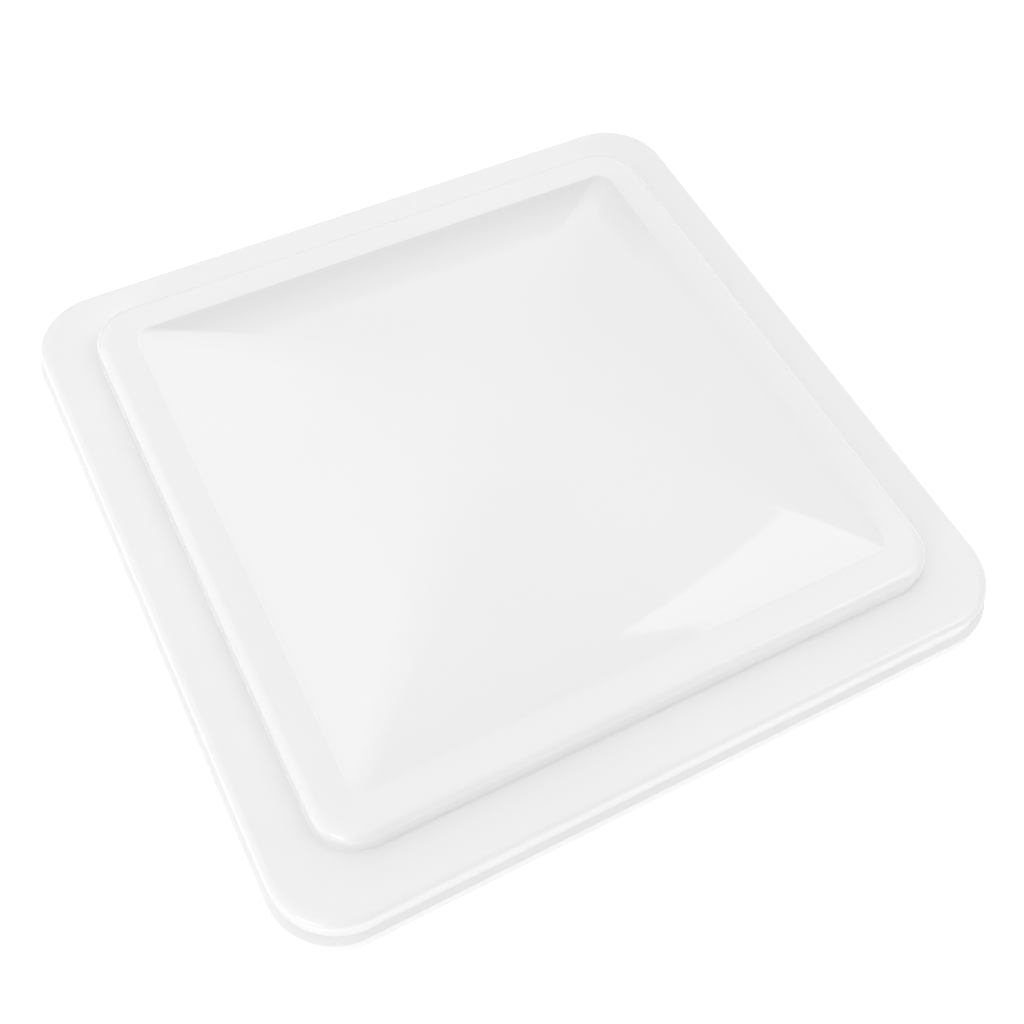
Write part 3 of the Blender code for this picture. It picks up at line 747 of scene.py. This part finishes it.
def make_seal(foam):
    """A foam strip laid round in one length, its ends meeting in a butt joint at the back."""
    low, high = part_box("weather_seal")
    outer, inner = high.x, high.x - SEAL_WIDTH
    edge = SEAL_EDGE
    base = low.z + SEAL_CROWN
    section = arc((inner + edge, base + edge), edge, 180, 270, 4)
    section += [((outer + inner) / 2, low.z)]
    section += arc((outer - edge, base + edge), edge, 270, 360, 4)
    section += arc((outer - edge / 2, high.z - edge / 2), edge / 2, 0, 90, 3)
    section += arc((inner + edge / 2, high.z - edge / 2), edge / 2, 90, 180, 3)
    levels = [rounded_square(half, SEAL_CORNER - (outer - half), height) for half, height in section]

    def build(shape):
        skin(shape, levels, close_loop=True)
    seal = built("weather_seal_strip", build)
    clear = 0.002
    slit = box("butt_joint", (SEAL_JOINT_X, CENTRE_Y + inner - clear, low.z - clear),
               (SEAL_JOINT_X + SEAL_JOINT_GAP, CENTRE_Y + outer + clear, high.z + clear))
    combined(seal, [slit], 'DIFFERENCE')
    softened(seal, 0.0004, 2, 60.0)
    return finished(seal, "lid", [foam], ["weather_seal"])


# The hinge.

def curl_outline(barrel, reach):
    """A sheet that runs flat along -X and curls round the pin, its end short of the sheet."""
    sheet_top = LEAF_THICKNESS - barrel
    end_height = sheet_top + CURL_SLOT
    outer_end = 180 + math.degrees(math.asin(-end_height / barrel))
    inner_end = 180 + math.degrees(math.asin(-end_height / PIN_HOLE_RADIUS))
    outline = arc((0.0, 0.0), barrel, -90, outer_end, FINE_STEPS)
    outline += arc((0.0, 0.0), PIN_HOLE_RADIUS, inner_end, -90, FINE_STEPS)
    flat_start = -0.0006
    outline += [(flat_start, sheet_top), (-reach, sheet_top), (-reach, -barrel)]
    return outline


def leaf_plan(reach, half):
    """The leaf seen square on, rounded at its two free corners; X is along the hinge."""
    corner = LEAF_CORNER
    wide, behind, shoulder = half + 0.001, 0.01, -0.004
    outline = [(wide, behind), (-wide, behind), (-wide, shoulder), (-half, shoulder)]
    outline += arc((-half + corner, corner - reach), corner, 180, 270, 8)
    outline += arc((half - corner, corner - reach), corner, 270, 360, 8)
    outline += [(half, shoulder), (wide, shoulder)]
    return outline


def knuckle_gaps(name, cleared, half, barrel):
    """Boxes in the leaf's own frame where the other leaf's knuckles turn."""
    length = 2 * half / KNUCKLES
    reach = barrel + 2 * GAP
    past_end = 0.005
    found = []
    for index in cleared:
        start = -half + index * length - (KNUCKLE_GAP if index > 0 else past_end)
        end = -half + (index + 1) * length + (KNUCKLE_GAP if index < KNUCKLES - 1 else past_end)
        found.append(box(f"{name}_gap_{index}", (-reach, -reach, start), (reach, reach, end)))
    return found


def make_leaf(name, reach, tilt, cleared, holes, countersunk, metal, body, node):
    """One leaf, drawn about the axis with the hinge along its own Z, then laid in place."""
    half, barrel, axis_y, axis_z = hinge_frame()
    leaf = prism(name, curl_outline(barrel, reach), 2 * half, ALONG_Z)
    combined(leaf, knuckle_gaps(name, cleared, half, barrel), 'DIFFERENCE')
    drills = []
    clear = 0.001
    top = LEAF_THICKNESS - barrel
    for number, (along, distance) in enumerate(holes):
        profile = [(0.0, -barrel - clear), (SCREW_HOLE_RADIUS, -barrel - clear),
                   (SCREW_HOLE_RADIUS, top - SINK_DEPTH if countersunk else top + clear)]
        if countersunk:
            profile.append((SCREW_HOLE_RADIUS + SINK_WIDENING, top + SINK_DEPTH / 2))
        profile.append((0.0, profile[-1][1]))
        upright = Matrix(((1, 0, 0, -distance), (0, 0, 1, 0), (0, -1, 0, along), (0, 0, 0, 1)))
        drills.append(turned(f"{name}_drill_{number}", profile, upright))
    combined(leaf, drills, 'DIFFERENCE')
    plan = Matrix(((0, 1, 0, 0), (0, 0, 1, 0), (1, 0, 0, 0), (0, 0, 0, 1)))
    combined(leaf, [prism(f"{name}_plan", leaf_plan(reach, half), 0.02, plan)], 'INTERSECT')
    softened(leaf, 0.00012, 2, 40.0)
    leaf.data.transform(Matrix.Translation((0.0, axis_y, axis_z)) @ ALONG_X
                        @ Matrix.Rotation(tilt, 4, 'Z'))
    return finished(leaf, body, [metal], [node])


def make_hinge(metal, steel):
    half, _, axis_y, axis_z = hinge_frame()
    base_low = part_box("hinge_base_leaf")[0]
    leaf_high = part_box("hinge_lid_leaf")[1]
    base_holes = [(across, BASE_HOLE_REACH) for across in BASE_HOLES_X]
    lid_holes = [(across, up - axis_z) for across, up in rivet_places()]
    make_leaf("hinge_leaf_fixed", axis_y - base_low.y, 0.0, range(0, KNUCKLES, 2), base_holes, True,
              metal, "hinge_base", "hinge_base_leaf")
    make_leaf("hinge_leaf_lid", leaf_high.z - axis_z, -math.pi / 2, range(1, KNUCKLES, 2),
              lid_holes, False, metal, "lid", "hinge_lid_leaf")
    pin_low, pin_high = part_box("hinge_pin")
    end, head = pin_high.x, (pin_high.z - pin_low.z) / 2
    neck = half + GAP
    cap = [(0.0, end), (head * 0.45, end - 0.00008), (head * 0.8, end - 0.0003),
           (head, end - 0.0007), (head, neck), (PIN_RADIUS, neck)]
    profile = cap + [(radius, -height) for radius, height in reversed(cap)]
    place = Matrix.Translation((0.0, axis_y, axis_z)) @ Matrix.Rotation(math.pi / 2, 4, 'Y')
    pin = turned("hinge_pin_rod", profile, place)
    finished(pin, "hinge_base", [steel], ["hinge_pin"])


def rivet_profile(outer, tail, washer_inner):
    """Height runs outwards along +Y: a domed head with a broken mandrel, and a blind bulb."""
    head_base = outer - RIVET_HEAD_HEIGHT
    head, dimple, rim, edge = 0.004, 0.0009, 0.0002, 0.0003
    dimple_floor = outer - 0.0007
    profile = [(0.0, dimple_floor), (dimple * 0.9, dimple_floor), (dimple, outer - rim)]
    profile.append((dimple + rim, outer))
    for step in range(1, 7):
        angle = step / 6 * math.pi / 2
        profile.append((dimple + rim + (head - dimple - rim) * math.sin(angle),
                        outer - (RIVET_HEAD_HEIGHT - edge) * (1 - math.cos(angle))))
    bulb = washer_inner - GAP / 3
    profile += [(head, head_base), (RIVET_RADIUS, head_base), (RIVET_RADIUS, bulb)]
    for swell, depth in ((1.35, 0.1), (1.6, 0.35), (1.45, 0.65), (1.1, 0.85), (0.7, 1.0)):
        profile.append((RIVET_RADIUS * swell, bulb + (tail - bulb) * depth))
    profile.append((0.0, tail))
    return profile


def make_rivets(steel):
    for number, (across, up) in enumerate(rivet_places(), 1):
        low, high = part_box(f"hinge_rivet_{number}")
        washer_low, washer_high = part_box(f"rivet_washer_{number}")
        place = Matrix.Translation((across, 0.0, up)) @ Matrix.Rotation(-math.pi / 2, 4, 'X')
        rivet = turned(f"blind_rivet_{number}", rivet_profile(high.y, low.y, washer_low.y), place)
        finished(rivet, "lid", [steel], [f"hinge_rivet_{number}"])
        outer = (washer_high.x - washer_low.x) / 2
        edge = 0.00018
        ring = [(outer - edge, washer_high.y), (outer, washer_high.y - edge),
                (outer, washer_low.y + edge), (outer - edge, washer_low.y),
                (RIVET_HOLE_RADIUS + edge, washer_low.y), (RIVET_HOLE_RADIUS, washer_low.y + edge),
                (RIVET_HOLE_RADIUS, washer_high.y - edge),
                (RIVET_HOLE_RADIUS + edge, washer_high.y)]
        washer = turned(f"backing_washer_{number}", ring, place, ring=True)
        finished(washer, "lid", [steel], [f"rivet_washer_{number}"])


# The lift channel.

def channel_outline(half, low, high):
    """A rolled section: web above, two sides, two lips beside the slot, round at each bend."""
    outer, inner = CHANNEL_BEND, CHANNEL_BEND - CHANNEL_SHEET
    sheet = CHANNEL_SHEET
    right = [(SLOT_HALF_WIDTH, low)]
    right += arc((half - outer, low + outer), outer, 270, 360, 8)
    right += arc((half - outer, high - outer), outer, 0, 90, 8)
    left = [(-across, up) for across, up in reversed(right)]
    inside = [(-SLOT_HALF_WIDTH, low + sheet)]
    inside += arc((outer - half, low + outer), inner, 270, 180, 5)
    inside += arc((outer - half, high - outer), inner, 180, 90, 5)
    inside += [(-across, up) for across, up in reversed(inside)]
    return right + left + inside


def make_channel(metal):
    low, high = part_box("lift_channel")
    middle = (low.y + high.y) / 2
    place = Matrix.Translation((0.0, middle, 0.0)) @ ALONG_Y
    channel = prism("lift_track", channel_outline(high.x, low.z, high.z), high.y - low.y, place)
    holes = [(across, along, high.z) for across, along in boss_places()]
    combined(channel, [rods("track_holes", holes, SCREW_HOLE_RADIUS, 0.006, ALONG_Z)], 'DIFFERENCE')
    softened(channel, 0.00015, 2, 40.0)
    return finished(channel, "lid", [metal], ["lift_channel"])


def threaded_rod(name, low, high, place):
    """A shank with a real helical thread and a pointed end at the top."""
    around, rows_per_turn = 24, 8
    rows = int((high - low) / THREAD_PITCH * rows_per_turn)
    levels = []
    for row in range(rows + 1):
        height = low + (high - low) * row / rows
        taper = min(1.0, (high - height) / 0.0018 + 0.3)
        level = []
        for index in range(around):
            phase = (height / THREAD_PITCH - index / around) % 1.0
            ridge = max(0.0, 1.0 - abs(phase - 0.5) / 0.3)
            radius = taper * (THREAD_ROOT + (SCREW_RADIUS - THREAD_ROOT) * ridge)
            angle = 2 * math.pi * index / around
            level.append((radius * math.cos(angle), radius * math.sin(angle), height))
        levels.append(level)

    def build(shape):
        skin(shape, levels, close_start=True, close_end=True)
    return built(name, build, place)


def drive_wing(name, depth, turn, place):
    """One tapered wing of a cross drive, cut into a head from below."""
    wide, narrow, thin = 0.0024, 0.0009, 0.00045

    def build(shape):
        rows = []
        for height, half in ((-0.001, wide), (depth, narrow)):
            corners = ((half, thin), (-half, thin), (-half, -thin), (half, -thin))
            rows.append([shape.verts.new((*corner, height)) for corner in corners])
        low, high = rows
        shape.faces.new(low)
        shape.faces.new(high)
        for index in range(4):
            after = (index + 1) % 4
            shape.faces.new((low[index], low[after], high[after], high[index]))
    return built(name, build, place @ Matrix.Rotation(turn, 4, 'Z'))


def make_screws(steel):
    for number, (across, along) in enumerate(boss_places(), 1):
        low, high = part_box(f"channel_screw_{number}")
        place = Matrix.Translation((across, along, 0.0))
        head = (high.x - low.x) / 2
        top = low.z + SCREW_HEAD_HEIGHT
        profile = [(0.0, low.z)]
        for share, rise in ((0.5, 0.0), (0.72, 0.00012), (0.88, 0.0004), (0.97, 0.0009)):
            profile.append((head * share, low.z + rise))
        profile += [(head, top - 0.0003), (head, top), (0.0, top)]
        screw = turned(f"pan_screw_{number}", profile, place)
        shank = threaded_rod("shank", top - 0.0004, high.z, place)
        combined(screw, [shank], 'UNION')
        face = Matrix.Translation((across, along, low.z))
        turns = (0.35 * number, 0.35 * number + math.pi / 2)
        wings = [drive_wing(f"wing_{turn:.2f}", 0.0011, turn, face) for turn in turns]
        combined(screw, wings, 'DIFFERENCE')
        finished(screw, "lid", [steel], [f"channel_screw_{number}"])


def make_stops(nylon):
    """Moulded end plugs: a plate outside the channel and a hollowed plug inside it."""
    inner_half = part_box("lift_channel")[1].x - CHANNEL_SHEET - GAP
    for name, side in (("front_channel_stop", -1), ("rear_channel_stop", 1)):
        low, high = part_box(name)
        outside = high.y if side > 0 else low.y
        inside = low.y if side > 0 else high.y
        near, far = sorted((outside, outside - side * STOP_PLATE))
        plate = box("plate", (low.x, near, low.z), (high.x, far, high.z))
        softened(plate, 0.0018, 4)
        near, far = sorted((inside, outside - side * STOP_PLATE / 2))
        stop = box(f"{name}_plug", (-inner_half, near, low.z + CHANNEL_SHEET + GAP),
                   (inner_half, far, high.z - CHANNEL_SHEET - GAP))
        softened(stop, 0.0005)
        combined(stop, [plate], 'UNION')
        near, far = sorted((outside + side * 0.001, outside - side * 0.0008))
        pocket = box("pocket", (-0.005, near, (low.z + high.z) / 2 - 0.0012),
                     (0.005, far, (low.z + high.z) / 2 + 0.0012))
        combined(stop, [softened(pocket, 0.0004)], 'DIFFERENCE')
        finished(stop, "lid", [nylon], [name])


# The slider and its fork.

def pivot_place():
    low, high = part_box("pin_retainer")
    return (low.y + high.y) / 2, (low.z + high.z) / 2


def make_slider(nylon):
    """A shoe on the channel's lips, its neck in the slot and a rounded lug below them."""
    low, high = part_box("slider_shoe")
    pivot_y, pivot_z = pivot_place()
    bottom = high.z - SHOE_THICKNESS
    neck_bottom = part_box("lift_channel")[0].z - GAP
    shoe = softened(box("sliding_shoe", (low.x, low.y, bottom), high), 0.0007, 3)
    neck = softened(box("neck", (-NECK_HALF_WIDTH, low.y + 0.001, neck_bottom),
                        (NECK_HALF_WIDTH, high.y - 0.001, high.z - SHOE_THICKNESS / 2)), 0.0004)
    outline = arc((pivot_y - LUG_HALF_LENGTH + LUG_ROUND, low.z + LUG_ROUND), LUG_ROUND, 180, 270, 8)
    outline += arc((pivot_y + LUG_HALF_LENGTH - LUG_ROUND, low.z + LUG_ROUND), LUG_ROUND, 270, 360, 8)
    outline += [(pivot_y + LUG_HALF_LENGTH, bottom + 0.001), (pivot_y - LUG_HALF_LENGTH, bottom + 0.001)]
    lug = softened(prism("lug", outline, 2 * LUG_HALF_WIDTH, ALONG_X), 0.0003)
    combined(shoe, [neck, lug], 'UNION')
    across = Matrix.Rotation(math.pi / 2, 4, 'Y')
    hole = rods("pivot_hole", [(0.0, pivot_y, pivot_z)], PIVOT_HOLE_RADIUS, 0.03, across)
    combined(shoe, [hole], 'DIFFERENCE')
    return finished(shoe, "lift_slider", [nylon], ["slider_shoe"])


def make_fork(steel):
    """A bent fork whose two rounded ears hang on the pivot pin."""
    low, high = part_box("arm_clip")
    pivot_y, pivot_z = pivot_place()
    outer, inner_bend = CLIP_BEND, CLIP_BEND - CLIP_SHEET
    half, bottom, top = high.x, low.z, high.z
    bends = arc((outer - half, bottom + outer), outer, 180, 270, 8)
    bends += arc((half - outer, bottom + outer), outer, 270, 360, 8)
    inside = arc((half - outer, bottom + outer), inner_bend, 360, 270, 5)
    inside += arc((outer - half, bottom + outer), inner_bend, 270, 180, 5)
    outline = bends + [(half, top), (half - CLIP_SHEET, top)] + inside
    outline += [(CLIP_SHEET - half, top), (-half, top)]
    place = Matrix.Translation((0.0, pivot_y, 0.0)) @ ALONG_Y
    fork = prism("arm_fork", outline, high.y - low.y, place)
    ear = (high.y - low.y) / 2
    side = [(pivot_y - ear + 0.0006, bottom - 0.001), (pivot_y + ear - 0.0006, bottom - 0.001)]
    side += arc((pivot_y, top - ear), ear, 0, 180, 20)
    combined(fork, [prism("ear_shape", side, 0.03, ALONG_X)], 'INTERSECT')
    across = Matrix.Rotation(math.pi / 2, 4, 'Y')
    holes = [(0.0, pivot_y, pivot_z), (0.0, pivot_y, pivot_z - ARM_HOLE_DROP)]
    combined(fork, [rods("fork_holes", holes, PIVOT_HOLE_RADIUS, 0.03, across)], 'DIFFERENCE')
    softened(fork, 0.00016, 2, 40.0)
    return finished(fork, "arm_fork", [steel], ["arm_clip"])


def make_pivot(steel):
    """A headed clevis pin, held by a spring ring with three teeth in the pin's groove."""
    low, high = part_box("pivot_pin")
    ring_low, ring_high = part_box("pin_retainer")
    pivot_y, pivot_z = pivot_place()
    place = Matrix.Translation((0.0, pivot_y, pivot_z)) @ Matrix.Rotation(math.pi / 2, 4, 'Y')
    radius, groove = 0.002, 0.0016
    head = (high.z - low.z) / 2
    neck = -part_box("arm_clip")[1].x - GAP
    profile = [(0.0, high.x), (radius - 0.0004, high.x), (radius, high.x - 0.0004),
               (radius, ring_high.x), (groove, ring_high.x), (groove, ring_low.x),
               (radius, ring_low.x), (radius, neck), (head - 0.0001, neck), (head, neck - 0.0001),
               (head, low.x + 0.0005), (head - 0.0004, low.x + 0.0001),
               (head - 0.0009, low.x), (0.0, low.x)]
    pin = turned("clevis_pin", profile, place)
    finished(pin, "lift_slider", [steel], ["pivot_pin"])

    outer = (ring_high.y - ring_low.y) / 2
    start, end, teeth, tooth_half, steps = 305, 595, (90, 212, 328), 17, 60
    outline = arc((0.0, 0.0), outer, start, end, 36)
    for step in range(steps + 1):
        angle = end + (start - end) * step / steps
        nearest = min(abs((angle - tooth + 180) % 360 - 180) for tooth in teeth)
        inner = groove + 0.0001 if nearest < tooth_half else groove + 0.0009
        outline += arc((0.0, 0.0), inner, angle, angle, 1)[:1]
    middle = (ring_low.x + ring_high.x) / 2
    place = Matrix.Translation((middle, pivot_y, pivot_z)) @ ALONG_X
    ring = prism("retaining_ring", outline, ring_high.x - ring_low.x - 0.0002, place)
    softened(ring, 0.0001, 1, 50.0)
    finished(ring, "lift_slider", [steel], ["pin_retainer"])


# Studio.

def make_floor():
    def build(shape):
        bmesh.ops.create_grid(shape, x_segments=8, y_segments=8, size=FLOOR_HALF)
    floor = built("studio_floor", build, Matrix.Translation((0.0, 0.0, cad_box[0].z)))
    look, tree, shader = new_material("studio_paper", (0.9, 0.9, 0.9), 0.7)
    shader.inputs["Specular IOR Level"].default_value = 0.2
    shader.inputs["Emission Color"].default_value = (1.0, 1.0, 1.0, 1.0)
    seen = add_node(tree, "ShaderNodeLightPath").outputs["Is Camera Ray"]
    glow = remapped(tree, seen, FLOOR_GLOW, FLOOR_GLOW + FLOOR_WHITE, 0.0, 1.0)
    tree.links.new(glow, shader.inputs["Emission Strength"])
    tone = ramp(tree, noise(tree, 3.0, 2.0), (0.895, 0.895, 0.895), (0.905, 0.905, 0.905))
    feed(tree, shader, tone, remapped(tree, noise(tree, 40.0, 3.0), 0.65, 0.75))
    bumps(tree, shader, (noise(tree, 900.0, 2.0), 0.00002))
    floor.data.materials.append(look)


def direction(azimuth, elevation):
    """Unit vector from the object towards a view; azimuth 0 is the front, 90 the right."""
    azimuth, elevation = math.radians(azimuth), math.radians(elevation)
    return Vector((math.sin(azimuth) * math.cos(elevation),
                   -math.cos(azimuth) * math.cos(elevation), math.sin(elevation)))


def make_camera():
    """A camera at the photograph's viewing angle."""
    target = Vector((0.0, CENTRE_Y, SHOULDER_Z)) + CAMERA_AIM
    back = direction(CAMERA_AZIMUTH, CAMERA_ELEVATION)
    right = direction(CAMERA_AZIMUTH + 90.0, 0.0)
    up = back.cross(right)
    turn = Matrix.Rotation(math.radians(CAMERA_ROLL), 3, back)
    right, up = turn @ right, turn @ up
    camera = bpy.data.objects.new("camera", bpy.data.cameras.new("camera"))
    bpy.context.scene.collection.objects.link(camera)
    axes = Matrix((right, up, back)).transposed().to_4x4()
    camera.matrix_world = Matrix.Translation(target + back * CAMERA_DISTANCE) @ axes
    camera.data.sensor_width = 36.0
    camera.data.lens = CAMERA_LENS
    camera.data.shift_x = CAMERA_SHIFT[0]
    camera.data.shift_y = CAMERA_SHIFT[1]
    camera.data.clip_start = 0.01
    bpy.context.scene.camera = camera


def window(tree, azimuth, elevation, left, right, bottom, top, softness):
    """1 inside a rectangle of sky directions and 0 outside it, angles in degrees."""
    soft = math.radians(softness)
    inside = None
    for source, start, end in ((azimuth, left, right), (elevation, bottom, top)):
        start, end = math.radians(start), math.radians(end)
        rise = remapped(tree, source, 0.0, 1.0, start - soft, start + soft)
        fall = remapped(tree, source, 1.0, 0.0, end - soft, end + soft)
        both = combine_values(tree, 'MULTIPLY', rise, fall)
        inside = combine_values(tree, 'MULTIPLY', inside, both) if inside else both
    return inside


def make_world():
    """A bright studio with light panels and dark doors, seen only in reflections and as light.

    A white panel stands behind the object with a dark gap under it, a softbox to its right, dark
    doors low in front and a lamp at its left. Azimuth here is measured from straight behind the
    object, positive to its right. Looked at directly, the room is plain white.
    """
    world = bpy.data.worlds.new("studio")
    bpy.context.scene.world = world
    world.use_nodes = True
    tree = world.node_tree
    sky = tree.nodes["Background"]
    coordinates = add_node(tree, "ShaderNodeTexCoord")
    parts = add_node(tree, "ShaderNodeSeparateXYZ", {"Vector": coordinates.outputs["Generated"]})
    across, along, up = (parts.outputs[axis] for axis in "XYZ")
    azimuth = combine_values(tree, 'ARCTAN2', across, along)
    elevation = combine_values(tree, 'ARCSINE', up, 0.0)
    side = remapped(tree, across, ROOM_LEFT, ROOM_RIGHT, -0.8, 0.8)
    front = remapped(tree, along, ROOM_FRONT, 0.0, -1.0, 0.2)
    light = combine_values(tree, 'ADD', side, front)
    for edges, change, softness in STUDIO_WINDOWS:
        mask = window(tree, azimuth, elevation, *edges, softness)
        light = combine_values(tree, 'ADD', light, combine_values(tree, 'MULTIPLY', mask, change))
    path = add_node(tree, "ShaderNodeLightPath")
    seen = path.outputs["Is Camera Ray"]
    kept = combine_values(tree, 'MULTIPLY', light, combine_values(tree, 'SUBTRACT', 1.0, seen))
    tree.links.new(combine_values(tree, 'ADD', kept, seen), sky.inputs["Strength"])
    sky.inputs["Color"].default_value = (1.0, 1.0, 1.0, 1.0)


def main():
    make_camera()
    make_floor()
    make_world()
    bpy.context.scene.view_settings.view_transform = 'Standard'
    white, white_inside = glossy_white(), satin_white()
    steel, nylon = plated_steel(), worn_nylon()
    make_lid(white, white_inside)
    make_seal(foam_rubber())
    make_hinge(brushed_aluminium(), steel)
    make_rivets(steel)
    make_channel(spangled_steel())
    make_screws(steel)
    make_stops(nylon)
    make_slider(nylon)
    make_fork(steel)
    make_pivot(steel)


main()
